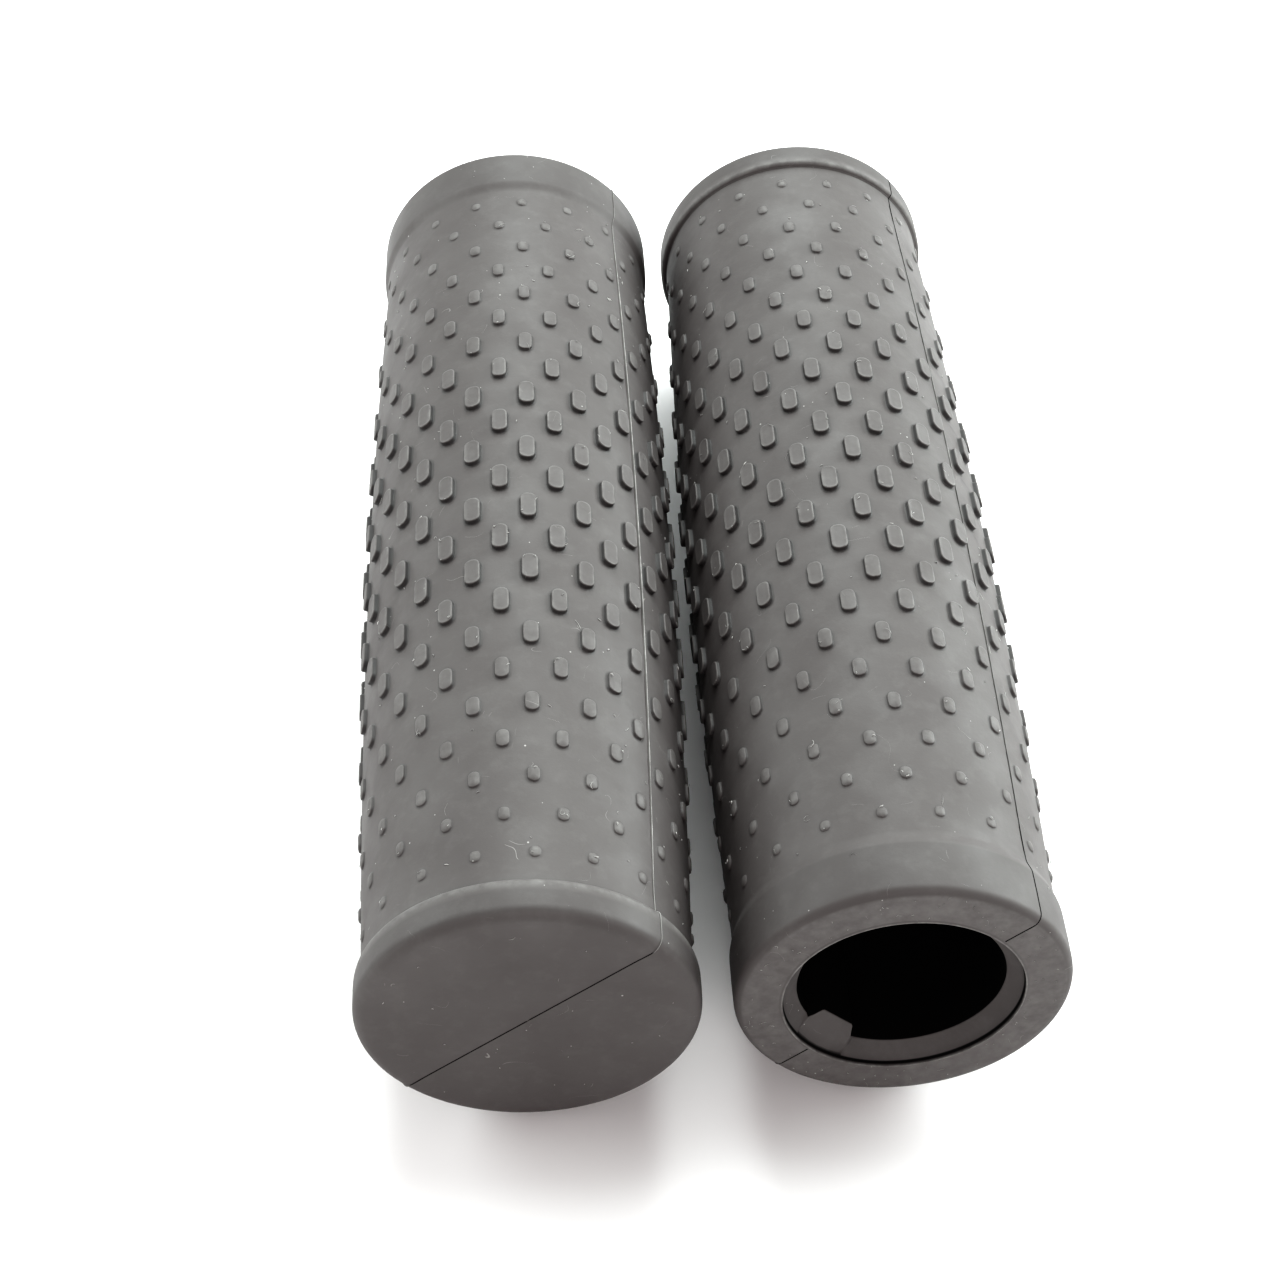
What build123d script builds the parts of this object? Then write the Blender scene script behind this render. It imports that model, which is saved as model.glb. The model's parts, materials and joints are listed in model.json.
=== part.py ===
"""A pair of slip-on rubber handlebar grips, lying side by side on a flat surface, end for end.

Each grip is one moulding: a blind sleeve with a flange at each end, a slightly barrelled body covered in
raised pads, and a keyed bore for a 22.2 mm bar. Millimetres, +Z up. The origin is the middle of the pair
on the surface, and the grips lie along Y. The left grip's closed end faces -Y, and the right grip's mouth does.
"""
from build123d import *
from math import cos, radians, sin
import os

# Driving dimensions of the moulding
LENGTH = 125.6  # closed end face to mouth face
CLOSED_FLANGE_R = 17.75
CLOSED_FLANGE_WIDTH = 4.6
MOUTH_FLANGE_R = 17.55
MOUTH_FLANGE_WIDTH = 6.4
BODY_END_R = 17.1  # body radius beside the flanges
BODY_MIDDLE_R = 18.0  # body radius half way along, where it swells
ROWS_PER_CONE = 3  # the barrel's swelling is a run of cones, each as long as this many rows of pads
BORE_R = 10.9  # stretches onto a 22.2 mm bar
END_WALL = 5.0  # rubber left at the bottom of the blind bore

# Rounded edges and shoulders of the flanges
CLOSED_EDGE_R = 1.35
MOUTH_EDGE_R = 1.1
SHOULDER_EDGE_R = 0.25
SHOULDER_ROOT_R = 0.3
SHOULDER_RUN = 0.9  # short cylinder between a shoulder and the barrelled body
MOUTH_SLOPE = 1.7  # axial length of the mouth flange's sloping shoulder
SLOPE_BLEND_R = 1.5

# Mouth of the bore: a shallow counterbore, then a cone that leads down to the bore
COUNTERBORE_R = 12.55
COUNTERBORE_DEPTH = 0.45
CONE_DEPTH = 1.65

# Key rib inside the bore
RIB_BASE = 6.6
RIB_TOP = 4.6
RIB_HEIGHT = 1.95
RIB_FOOT_HEIGHT = 0.5  # height above the bore's wall up to which the rib keeps its base width
RIB_LENGTH = 30.0
RIB_TURN = 4.0  # angle from the parting plane to the rib's middle, in degrees
RIB_FRONT_OUTER = 0.6  # depth of the rib's sloping front below the mouth's face, at the counterbore
RIB_FRONT_INNER = 2.3  # and at the rib's top
RIB_ROOT = 0.3  # how far the rib is buried beyond the counterbore's radius

# Raised pads: staggered rows round the body, small dots at both ends and full pads over the middle rows
ROWS = 23
ROW_PITCH = 4.85
FIRST_ROW = 8.2  # closed end face to the first row's middle
PADS_IN_ROW = 18
FIRST_PAD_ANGLE = 5.0  # from the parting plane
ROWS_OF_GROWTH = 8  # rows from a dot row to a full pad row
DOT_WIDTH, PAD_WIDTH = 1.1, 1.85
DOT_LENGTH, PAD_LENGTH = 1.3, 3.75
DOT_HEIGHT, PAD_HEIGHT = 0.25, 0.6
PAD_ROOT = 0.6  # how far a pad is buried in the body

# How the pair lies
AXIS_SPACING = 38.2  # between the two axes, half way along
STAGGER = 2.5  # how far the right grip lies further along +Y
RIGHT_YAW = 0.46  # the right grip is turned this far about +Z, in degrees
LEFT_ROLL = 43.2  # angle of each grip's parting plane above the surface, in degrees
RIGHT_ROLL = 45.2

ROW_STEP = 360 / PADS_IN_ROW
MIDDLE_ROW = (ROWS - 1) / 2


def row_position(row):
    """Distance of a row of pads from the closed end. A half row number is the gap between two rows."""
    return FIRST_ROW + row * ROW_PITCH


def row_swelling(row):
    """Share of the barrel's swelling at a row, on a parabola: 0 at the end rows, 1 at the middle one."""
    return 1 - ((row - MIDDLE_ROW) / MIDDLE_ROW) ** 2


def row_growth(row):
    """Size of a row's pads: 0 for the dots of the end rows, 1 for the full pads of the middle rows."""
    return min(1.0, (MIDDLE_ROW - abs(row - MIDDLE_ROW)) / ROWS_OF_GROWTH)


def body_radius(row):
    """Radius of the barrelled body, between its pads, at a row."""
    return BODY_END_R + (BODY_MIDDLE_R - BODY_END_R) * row_swelling(row)


def row_planes(row, radius):
    """Planes that touch a cylinder of that radius at each pad of a row, with x along the grip and z outwards."""
    first = FIRST_PAD_ANGLE + ROW_STEP / 2 * (row % 2)
    angles = [radians(first + ROW_STEP * number) for number in range(PADS_IN_ROW)]
    outward = [Vector(cos(angle), 0, sin(angle)) for angle in angles]
    start = Vector(0, row_position(row), 0)
    return [Plane(origin=start + out * radius, x_dir=(0, 1, 0), z_dir=out) for out in outward]


with BuildPart() as grip:
    # Outer shape, as a profile of radius (x) along the axis (y), turned about the axis
    with BuildSketch(Plane.XY):
        with BuildLine():
            closed_rim = FilletPolyline(
                (0, 0),
                (CLOSED_FLANGE_R, 0),
                (CLOSED_FLANGE_R, CLOSED_FLANGE_WIDTH),
                (BODY_END_R, CLOSED_FLANGE_WIDTH),
                (BODY_END_R, CLOSED_FLANGE_WIDTH + SHOULDER_RUN),
                radius=[CLOSED_EDGE_R, SHOULDER_EDGE_R, SHOULDER_ROOT_R],
            )
            mouth_rim = FilletPolyline(
                (BODY_END_R, LENGTH - MOUTH_FLANGE_WIDTH - MOUTH_SLOPE - SHOULDER_RUN),
                (BODY_END_R, LENGTH - MOUTH_FLANGE_WIDTH - MOUTH_SLOPE),
                (MOUTH_FLANGE_R, LENGTH - MOUTH_FLANGE_WIDTH),
                (MOUTH_FLANGE_R, LENGTH),
                (0, LENGTH),
                radius=[SLOPE_BLEND_R, SLOPE_BLEND_R, MOUTH_EDGE_R],
            )
            # The barrel is a run of cones that meet in the gaps between rows, so each pad stands on one face
            gaps = [row + 0.5 for row in range(0, ROWS - 1, ROWS_PER_CONE)]
            barrel = [(body_radius(gap), row_position(gap)) for gap in gaps]
            Polyline(closed_rim @ 1, *barrel, mouth_rim @ 0)
            Line(mouth_rim @ 1, closed_rim @ 0)
        make_face()
    revolve(axis=Axis.Y)

    # Raised pads
    pads = []
    for row in range(ROWS):
        growth = row_growth(row)
        width = DOT_WIDTH + (PAD_WIDTH - DOT_WIDTH) * growth
        length = DOT_LENGTH + (PAD_LENGTH - DOT_LENGTH) * growth
        height = DOT_HEIGHT + (PAD_HEIGHT - DOT_HEIGHT) * row_swelling(row)
        with BuildSketch(*row_planes(row, body_radius(row) - PAD_ROOT)):
            SlotOverall(length, width)
        pads.append(extrude(amount=PAD_ROOT + height, mode=Mode.PRIVATE))
    add(pads)

    # Blind bore, from the mouth to the end wall
    with BuildSketch(Plane.XZ.offset(-LENGTH)):
        Circle(BORE_R)
    extrude(amount=LENGTH - END_WALL, mode=Mode.SUBTRACT)

    # Counterbore and lead-in cone
    with BuildSketch(Plane.XY):
        with BuildLine():
            Polyline(
                (0, LENGTH),
                (COUNTERBORE_R, LENGTH),
                (COUNTERBORE_R, LENGTH - COUNTERBORE_DEPTH),
                (BORE_R, LENGTH - COUNTERBORE_DEPTH - CONE_DEPTH),
                (0, LENGTH - COUNTERBORE_DEPTH - CONE_DEPTH),
                close=True,
            )
        make_face()
    revolve(axis=Axis.Y, mode=Mode.SUBTRACT)

    # Key rib at -X: its section along the axis, kept only where its side outline with the sloping front is
    rib_outer = COUNTERBORE_R + RIB_ROOT
    rib_top = BORE_R - RIB_HEIGHT
    rib_foot = BORE_R - RIB_FOOT_HEIGHT
    with BuildPart(mode=Mode.PRIVATE) as rib:
        with BuildSketch(Plane.XZ.offset(-LENGTH)):
            with BuildLine():
                Polyline(
                    (-rib_outer, -RIB_BASE / 2),
                    (-rib_foot, -RIB_BASE / 2),
                    (-rib_top, -RIB_TOP / 2),
                    (-rib_top, RIB_TOP / 2),
                    (-rib_foot, RIB_BASE / 2),
                    (-rib_outer, RIB_BASE / 2),
                    close=True,
                )
            make_face()
        extrude(amount=RIB_LENGTH)
        with BuildSketch(Plane.XY):
            with BuildLine():
                Polyline(
                    (-rib_outer, LENGTH - RIB_LENGTH),
                    (-rib_outer, LENGTH - RIB_FRONT_OUTER),
                    (-COUNTERBORE_R, LENGTH - RIB_FRONT_OUTER),
                    (-rib_top, LENGTH - RIB_FRONT_INNER),
                    (-rib_top, LENGTH - RIB_LENGTH),
                    close=True,
                )
            make_face()
        extrude(amount=RIB_BASE, both=True, mode=Mode.INTERSECT)
    add(rib.part.rotate(Axis.Y, RIB_TURN))


def resting_place(x, y, yaw, roll):
    """Place that lays the grip's middle over (x, y), rolled and turned, with its lowest pads at z = 0."""
    turned = Location((x, y, 0), (0, 0, yaw)) * Location((0, 0, 0), (0, -roll, 0))
    middled = turned * Location((0, -LENGTH / 2, 0))
    lowest = (middled * grip.part).bounding_box().min.Z
    return Location((0, 0, -lowest)) * middled


# Turning the right grip end for end about Z also mirrors its angles, so half a turn is added to its roll
left_place = resting_place(-AXIS_SPACING / 2, -STAGGER / 2, 0, LEFT_ROLL)
right_place = resting_place(AXIS_SPACING / 2, STAGGER / 2, RIGHT_YAW + 180, -180 - RIGHT_ROLL)

with BuildPart() as left_grip:
    with Locations(left_place):
        add(grip.part)

with BuildPart() as right_grip:
    with Locations(right_place):
        add(grip.part)

os.makedirs("parts", exist_ok=True)
left_grip.part.label = "left_grip"
right_grip.part.label = "right_grip"
export_step(left_grip.part, "parts/left_grip.step")
export_step(right_grip.part, "parts/right_grip.step")
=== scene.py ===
"""A pair of black rubber slip-on handlebar grips, finished as moulded silicone, on a pale studio floor.

Laid out as an add-on: settings, one operator for each kind of piece, one for the stage, and a panel.
Lengths inside the shape functions are millimetres, and a grip's own axes are:
  angle   turns about the grip's axis, from its parting plane, in radians
  along   runs along the axis, from the closed end face to the mouth
  radius  is the distance from the axis
"""
import json
import math

import bpy
import numpy as np
from bpy.props import FloatProperty, FloatVectorProperty, IntProperty, PointerProperty
from mathutils import Matrix, Vector


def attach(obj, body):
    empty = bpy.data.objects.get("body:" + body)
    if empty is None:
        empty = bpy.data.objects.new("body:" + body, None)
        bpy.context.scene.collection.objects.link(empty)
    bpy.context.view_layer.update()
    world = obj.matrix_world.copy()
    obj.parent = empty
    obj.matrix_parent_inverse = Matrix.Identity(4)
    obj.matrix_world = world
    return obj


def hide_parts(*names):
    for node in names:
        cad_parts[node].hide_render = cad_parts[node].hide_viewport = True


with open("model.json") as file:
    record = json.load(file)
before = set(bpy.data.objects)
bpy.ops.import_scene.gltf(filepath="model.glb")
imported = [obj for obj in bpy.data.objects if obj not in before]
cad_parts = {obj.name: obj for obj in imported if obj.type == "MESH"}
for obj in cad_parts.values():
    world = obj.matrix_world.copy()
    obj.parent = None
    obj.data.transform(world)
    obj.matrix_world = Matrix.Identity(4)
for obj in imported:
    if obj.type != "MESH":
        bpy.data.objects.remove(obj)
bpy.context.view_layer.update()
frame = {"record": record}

bl_info = {
    "name": "Rubber bar end grips",
    "version": (1, 0, 0),
    "blender": (4, 5, 0),
    "location": "View3D > Sidebar > Grips",
    "description": "Moulded rubber grips with raised pads, mould flash, dust and a small studio",
    "category": "Object",
}

MM = 0.001
SIDES = ("left", "right")
SEEDS = {"left": 11, "right": 23}
QUARTER_STEPS = 6  # vertices in a quarter of a pad's outline; half as many lie on half a side of its cell
WELD_GRAIN = 2e-6  # vertices closer than about this, in metres, become one
FACE_DISH = 0.05  # how far the closed end's face is dished at its middle
WALL_DRAFT = 0.06  # how much the counterbore narrows by its foot


# ---------------------------------------------------------------- settings


def length_property(name, description, millimetres):
    """A length setting, given in millimetres and kept in metres."""
    return FloatProperty(
        name=name, description=description, default=millimetres * MM, unit="LENGTH", precision=5
    )


def angle_property(name, description, degrees):
    """An angle setting, given in degrees and kept in radians."""
    return FloatProperty(
        name=name, description=description, default=math.radians(degrees), subtype="ANGLE"
    )


def colour_property(name, description, colour):
    """A colour setting, in linear red, green and blue."""
    return FloatVectorProperty(
        name=name, description=description, default=colour, subtype="COLOR", min=0.0, max=1.0
    )


def count_property(name, description, number, least):
    """A whole number with a least value."""
    return IntProperty(name=name, description=description, default=number, min=least)


class MouldingSettings(bpy.types.PropertyGroup):
    """Sizes of one moulding. The length, the bore and the places come from the frame."""

    closed_flange_radius: length_property("Closed flange radius", "Outer radius of the closed end", 17.75)
    closed_flange_width: length_property("Closed flange width", "Width of the closed end's flange", 4.6)
    closed_edge: length_property("Closed edge", "Rounding of the closed end's outer edge", 1.35)
    mouth_flange_radius: length_property("Mouth flange radius", "Outer radius of the mouth's flange", 17.55)
    mouth_flange_width: length_property("Mouth flange width", "Width of the mouth's flange", 6.4)
    mouth_edge: length_property("Mouth edge", "Rounding of the mouth's outer edge", 1.1)
    mouth_slope: length_property("Mouth slope", "Length of the mouth flange's sloping shoulder", 1.7)
    body_end_radius: length_property("Body end radius", "Body radius beside the flanges", 17.1)
    body_middle_radius: length_property("Body middle radius", "Body radius half way along", 18.0)
    counterbore_radius: length_property("Counterbore radius", "Radius of the step in the mouth", 12.55)
    counterbore_depth: length_property("Counterbore depth", "Depth of the step in the mouth", 0.45)
    end_wall: length_property("End wall", "Rubber left at the bottom of the bore", 5.0)
    rib_base: length_property("Rib base", "Width of the key rib where it meets the bore", 6.6)
    rib_top: length_property("Rib top", "Width of the key rib's flat top", 4.6)
    rib_height: length_property("Rib height", "How far the key rib stands into the bore", 1.95)
    rib_length: length_property("Rib length", "Distance of the key rib's far end from the mouth", 30.0)
    rib_front_outer: length_property("Rib front, outer", "Depth of the rib's front at the counterbore", 0.6)
    rib_front_inner: length_property("Rib front, inner", "Depth of the rib's front at its top", 2.3)
    rib_turn: angle_property("Rib turn", "Angle from the parting plane to the rib's middle", 4.0)
    left_roll: angle_property("Left roll", "Angle of the left parting plane above the floor", 43.2)
    right_roll: angle_property("Right roll", "Angle of the right parting plane above the floor", 45.2)


class PadSettings(bpy.types.PropertyGroup):
    """Sizes of the raised pads: small dots at both ends, which grow row by row to full pads."""

    rows: count_property("Rows", "Rows of pads along the grip", 23, 3)
    pads_in_row: count_property("Pads in a row", "Pads round the grip in each row", 18, 4)
    row_pitch: length_property("Row pitch", "Distance between rows", 4.85)
    first_row: length_property("First row", "Distance of the first row from the closed end", 8.2)
    rows_of_growth: count_property("Rows of growth", "Rows from a dot to a full pad", 8, 1)
    dot_width: length_property("Dot width", "Width of an end row's dot, round the grip", 1.1)
    dot_length: length_property("Dot length", "Length of an end row's dot, along the grip", 1.3)
    dot_height: length_property("Dot height", "Height of an end row's dot", 0.25)
    pad_width: length_property("Pad width", "Width of a full pad, round the grip", 1.8)
    pad_length: length_property("Pad length", "Length of a full pad, along the grip", 3.7)
    pad_height: length_property("Pad height", "Height of a full pad", 0.6)
    unevenness: length_property("Unevenness", "Spread of the pads' places and heights", 0.03)


class FlashSettings(bpy.types.PropertyGroup):
    """Sizes of the feather of rubber that the mould's halves leave, and the number of loose crumbs."""

    thickness: length_property("Thickness", "Thickness of the flash at its root", 0.18)
    end_height: length_property("End height", "Height of the flash on the faces and the flanges", 0.05)
    left_height: length_property("Left height", "Height of the left grip's flash half way along", 0.32)
    right_height: length_property("Right height", "Height of the right grip's flash half way along", 0.12)
    crumbs: count_property("Crumbs", "Loose shreds of rubber and lint on the outside of each grip", 320, 0)


class RubberSettings(bpy.types.PropertyGroup):
    """Colours and finish of the rubber, and the colours of its painted highlight and painted shade."""

    colour: colour_property("Colour", "Colour of clean rubber", (0.073, 0.064, 0.063))
    dust_colour: colour_property("Dust colour", "Colour of the bloom and dust", (0.15, 0.142, 0.138))
    # Pale colour of the painted highlight on pad rims and tops, the closed end's shoulder and the mouth's
    # lip, and of the dust with painted light on the mouth's face
    worn_colour: colour_property("Worn colour", "Colour of edges that are rubbed pale", (0.27, 0.265, 0.255))
    # Painted shade at the pads' feet, on the flanges and at the counterbore's foot
    crevice_colour: colour_property("Crevice colour", "Colour of deep corners", (0.008, 0.007, 0.007))
    # Painted shade: the counterbore's wall and the bore are made near black
    inside_colour: colour_property("Inside colour", "Colour inside the bore", (0.006, 0.0055, 0.0055))
    mark_colour: colour_property("Mark colour", "Colour of specks and scratches", (0.5, 0.49, 0.47))
    roughness: FloatProperty(
        name="Roughness", description="Roughness of clean rubber", default=0.6, min=0.0, max=1.0
    )


class StageSettings(bpy.types.PropertyGroup):
    """Camera and floor."""

    camera_place: FloatVectorProperty(
        name="Camera place", description="Camera position in the frame", subtype="XYZ",
        unit="LENGTH", default=(-0.02363, -0.20483, 0.22175), precision=5,
    )
    heading: angle_property("Heading", "Camera turn to the right of +Y", 5.39)
    dip: angle_property("Dip", "Camera tilt below the horizon", 46.18)
    roll: angle_property("Roll", "Camera roll", 3.84)
    lens: FloatProperty(name="Lens", description="Focal length, in millimetres", default=67.83)
    sensor: FloatProperty(name="Sensor", description="Width of the sensor, in millimetres", default=36.0)
    floor_colour: colour_property("Floor colour", "Colour of the floor", (0.91, 0.893, 0.895))
    floor_shade: colour_property("Floor shade", "Colour of the floor's faint clouds", (0.82, 0.8, 0.8))


# ---------------------------------------------------------------- the frame


def mount(name):
    """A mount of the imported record, by name."""
    return next(m for m in frame["record"]["mounts"] if m["name"] == name)


class Place:
    """Where one grip lies: its closed end's centre, its axis, and where angle 0 and a quarter turn point."""

    def __init__(self, side, roll):
        socket = mount(f"{side}_bar_socket")
        self.start = np.array(mount(f"{side}_end_face")["pos_m"])
        mouth = np.array(socket["pos_m"])
        self.length = float(np.linalg.norm(mouth - self.start)) / MM
        self.bore_radius = socket["dims"]["r_mm"]
        self.axis = (mouth - self.start) / (self.length * MM)
        sideways = np.cross(self.axis, (0.0, 0.0, 1.0))
        sideways *= math.copysign(1.0, sideways[0])
        self.zero = math.cos(roll) * sideways + math.sin(roll) * np.array((0.0, 0.0, 1.0))
        self.quarter = np.cross(self.zero, self.axis)

    def points(self, angle, along, radius):
        """Points in metres: start + axis * along + (zero * cos angle + quarter * sin angle) * radius."""
        offset = np.multiply.outer(np.cos(angle) * radius, self.zero)
        offset = offset + np.multiply.outer(np.sin(angle) * radius, self.quarter)
        return self.start + (offset + np.multiply.outer(along * np.ones_like(angle), self.axis)) * MM


def place_of(context, side):
    """The place of one grip, with its own roll."""
    moulding = context.scene.grip_moulding
    return Place(side, moulding.left_roll if side == "left" else moulding.right_roll)


# ---------------------------------------------------------------- shape helpers


def plain(group):
    """A group's settings as plain numbers, with lengths in millimetres and angles in radians."""
    values = {}
    for key in group.__annotations__:
        value = getattr(group, key)
        values[key] = value / MM if group.bl_rna.properties[key].unit == "LENGTH" else value
    return values


def arc(centre, radius, start, stop, steps):
    """Points of a circular arc as (along, radius), angles in degrees from +along towards +radius."""
    turn = np.radians(np.linspace(start, stop, steps + 1))
    return np.stack((centre[0] + radius * np.cos(turn), centre[1] + radius * np.sin(turn)), 1)


def ring_faces(rings, count, first=0):
    """Quads between neighbouring rings of a closed grid whose vertices are numbered ring by ring."""
    ring, step = np.meshgrid(np.arange(rings - 1), np.arange(count), indexing="ij")
    here = first + ring * count + step
    beside = first + ring * count + (step + 1) % count
    return np.stack((here, beside, beside + count, here + count), -1).reshape(-1, 4)


def fan_faces(ring_start, count, centre):
    """Triangles from a ring to one centre vertex."""
    step = np.arange(count)
    return np.stack((ring_start + step, ring_start + (step + 1) % count, np.full(count, centre)), 1)


def each_copy(faces, number, size):
    """The faces of one part repeated for a number of parts of that many vertices each."""
    first = np.arange(number)[:, None, None] * size
    return (faces[None] + first).reshape(-1, faces.shape[1])


def weld(points, paint, faces):
    """Merges vertices that fall in the same cell of a fine grid, and drops faces that have collapsed."""
    keys = np.round(points / WELD_GRAIN).astype(np.int64)
    _, first, index = np.unique(keys, axis=0, return_index=True, return_inverse=True)
    index = index.reshape(-1)
    joined = [index[f] for f in faces]
    kept = [f[(np.sort(f, 1)[:, 1:] != np.sort(f, 1)[:, :-1]).all(1)] for f in joined]
    return points[first], {name: values[first] for name, values in paint.items()}, kept


def make_piece(name, points, faces, side, material, paint=None):
    """A smooth-shaded mesh object at the origin that rides on one grip's body.

    faces is a list of index arrays, and paint holds the vertices' own values for the material, by name.
    """
    mesh = bpy.data.meshes.new(name)
    sizes = np.concatenate([np.full(len(f), f.shape[1]) for f in faces])
    corners = np.concatenate([f.ravel() for f in faces])
    mesh.vertices.add(len(points))
    mesh.vertices.foreach_set("co", points.astype(np.float32).ravel())
    mesh.loops.add(len(corners))
    mesh.loops.foreach_set("vertex_index", corners.astype(np.int32))
    mesh.polygons.add(len(sizes))
    mesh.polygons.foreach_set("loop_start", np.concatenate(([0], np.cumsum(sizes)[:-1])).astype(np.int32))
    mesh.polygons.foreach_set("loop_total", sizes.astype(np.int32))
    mesh.update(calc_edges=True)
    mesh.validate()
    mesh.polygons.foreach_set("use_smooth", np.ones(len(mesh.polygons), bool))
    for key, values in (paint or {}).items():
        mesh.attributes.new(key, "FLOAT", "POINT").data.foreach_set("value", values.astype(np.float32))
    mesh.materials.append(material)
    piece = bpy.data.objects.new(name, mesh)
    bpy.context.scene.collection.objects.link(piece)
    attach(piece, f"{side}_grip")
    return piece


# ---------------------------------------------------------------- the pads and the body between them


def swelling(along, pads):
    """The barrel's swelling: 1 - (distance from the middle row / half the rows' span) squared, or 0."""
    half = (pads["rows"] - 1) / 2 * pads["row_pitch"]
    middle = pads["first_row"] + half
    return np.clip(1 - ((along - middle) / half) ** 2, 0, None)


def body_radius(along, sizes, pads):
    """Radius of the body between its pads: the end radius + the swelling's share of what the middle adds."""
    added = sizes["body_middle_radius"] - sizes["body_end_radius"]
    return sizes["body_end_radius"] + added * swelling(along, pads)


def row_growth(row, pads):
    """Growth of a row's pads: rows from the nearer end row / rows of growth, and 1 past that."""
    middle = (pads["rows"] - 1) / 2
    return np.clip((middle - abs(row - middle)) / pads["rows_of_growth"], 0, 1)


def pad_size(pads, size, share):
    """A pad's width, length or height, from the dot's at share 0 to the full pad's at share 1."""
    return pads[f"dot_{size}"] + (pads[f"pad_{size}"] - pads[f"dot_{size}"]) * share


def cell_boundary():
    """Loop round a cell's edge as shares from -1 to 1 of its half width and half length, evenly spaced."""
    steps = QUARTER_STEPS // 2
    up = [(1.0, step / steps) for step in range(steps)]
    across = [(1.0 - step / steps, 1.0) for step in range(steps)]
    quarter = np.array(up + across)
    turns = [quarter @ np.array(((c, s), (-s, c))) for c, s in ((1, 0), (0, 1), (-1, 0), (0, -1))]
    return np.concatenate(turns)


def outline(half_width, half_length, corner):
    """Rounded rectangles as loops that match cell_boundary: a side's middle, a corner's arc, and so on.

    The arguments are arrays of one value per pad. The result has shape (pads, vertices, 2).
    """
    turn = np.radians(np.linspace(0, 90, QUARTER_STEPS - 1))
    width, length, rounding = half_width[:, None], half_length[:, None], corner[:, None]
    nothing = np.zeros_like(width)
    x = np.concatenate((width, width - rounding + rounding * np.cos(turn)), 1)
    y = np.concatenate((nothing, length - rounding + rounding * np.sin(turn)), 1)
    quarter = np.stack((x, y), -1)
    top = np.stack((nothing, length), -1)
    half = np.concatenate((quarter, top, quarter[:, :0:-1] * (-1, 1)), 1)
    return np.concatenate((half, -half), 1)


def pad_layout(pads, seed):
    """Each pad's angle, along, growth and five random errors, as arrays of one value per pad."""
    row, number = np.meshgrid(np.arange(pads["rows"]), np.arange(pads["pads_in_row"]), indexing="ij")
    row, number = row.ravel(), number.ravel()
    step = 2 * math.pi / pads["pads_in_row"]
    return {
        "angle": step / 4 + step / 2 * (row % 2) + step * number,
        "along": pads["first_row"] + row * pads["row_pitch"],
        "growth": row_growth(row, pads),
        "errors": np.random.default_rng(seed).normal(size=(5, len(row))) * pads["unevenness"],
    }


# The loops from a cell's edge to its pad's middle: offset from the pad's outline, share of the pad's height,
# height to take off, and paint: a painted highlight (above 0) on the rim and top, and painted shade (below
# 0) at the foot and up the wall. The first lies on the body, the next climb the pad's wall with a soft foot
#    and a
# rounded rim, and the last lie on its top.
PAD_LOOPS = (
    (0.38, 0.0, 0.0, 0.0),
    (0.11, 0.02, 0.0, -0.6),
    (0.03, 0.16, 0.0, -1.0),
    (-0.01, 0.70, 0.0, -0.8),
    (-0.05, 0.93, 0.0, 0.5),
    (-0.13, 1.0, 0.0, 0.6),
    (-0.26, 1.0, 0.035, 0.2),
    (-0.50, 1.0, 0.045, 0.1),
)


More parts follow.
